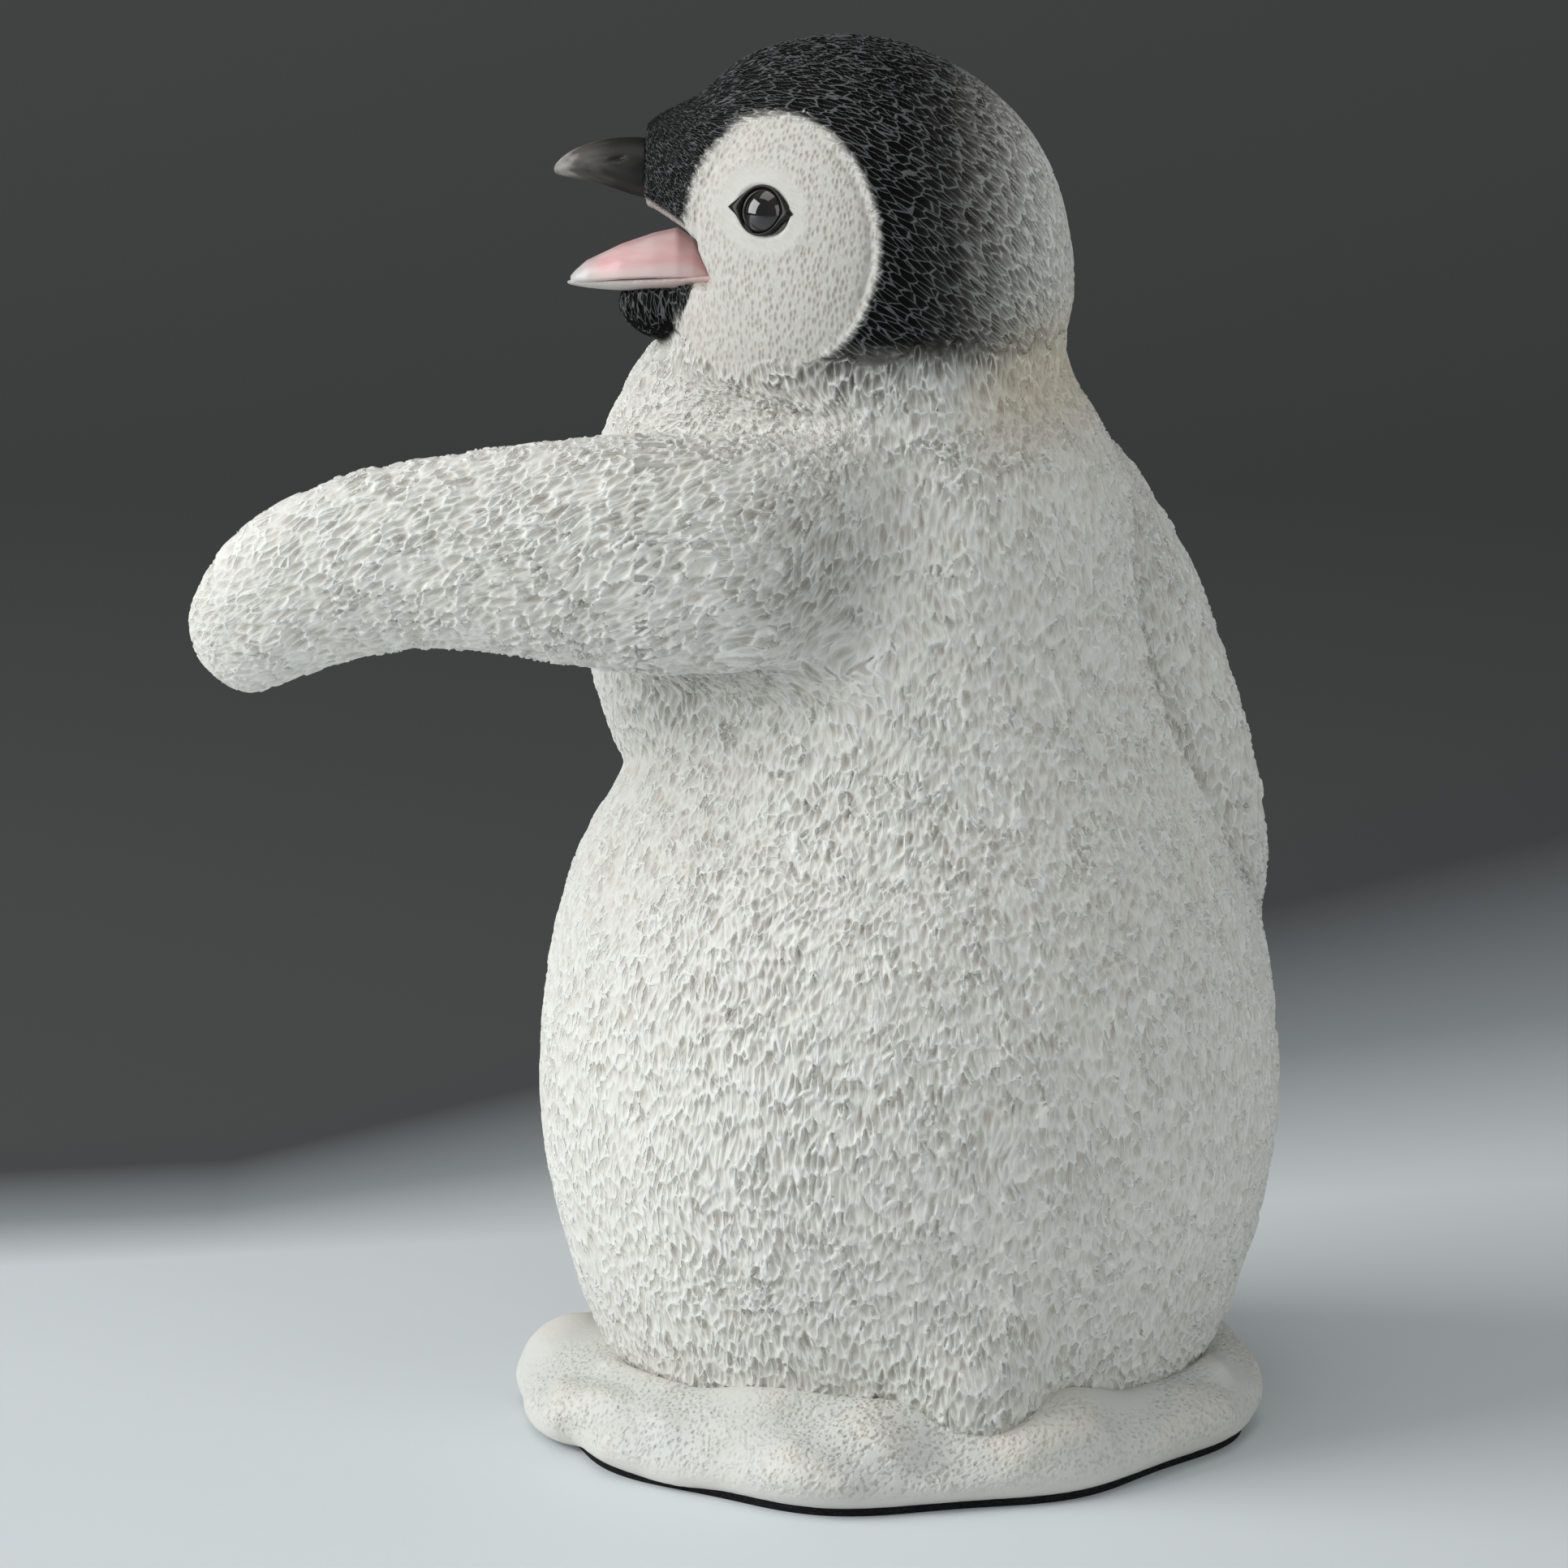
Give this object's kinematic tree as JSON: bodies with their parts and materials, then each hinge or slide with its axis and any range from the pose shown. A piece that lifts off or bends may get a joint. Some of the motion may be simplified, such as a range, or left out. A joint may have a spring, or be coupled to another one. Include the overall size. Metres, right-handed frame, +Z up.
{
  "type": "penguin figurine",
  "caption": "Cast resin penguin chick with its head turned and one flipper raised, standing on a lumpy snow base with felt underneath.",
  "frame": {"origin": "on the felt's underside, below the figure", "axes": "+Z up; -Y is where the belly and feet face; +X is the figure's left, the side that the bill and the raised flipper point to"},
  "size_m": [0.1758, 0.1283, 0.2278],
  "materials": {
    "down": "matt painted cast resin, textured as down",
    "hood": "painted cast resin, charcoal hood and white face patch",
    "bill": "satin black painted resin with a paler tip",
    "mouth": "satin pink painted resin",
    "eye": "polished dark brown glass",
    "foot": "satin dark grey painted resin",
    "snow": "matt painted cast resin with pores and pale blue hollows",
    "felt": "short-pile felt",
    "steel": "drawn bar",
    "plug": "moulded"
  },
  "bodies": {
    "root": {"torso": "down", "head": "hood", "upper_bill": "bill", "lower_bill": "bill", "tongue": "mouth", "left_eye": "eye", "right_eye": "eye", "left_flipper": "down", "right_flipper": "down", "left_flipper_pin": "steel", "right_flipper_pin": "steel", "left_foot": "foot", "right_foot": "foot", "snow_base": "snow", "base_pins": "steel", "fill_plug": "plug", "felt_pad": "felt"}
  },
  "joints": []
}
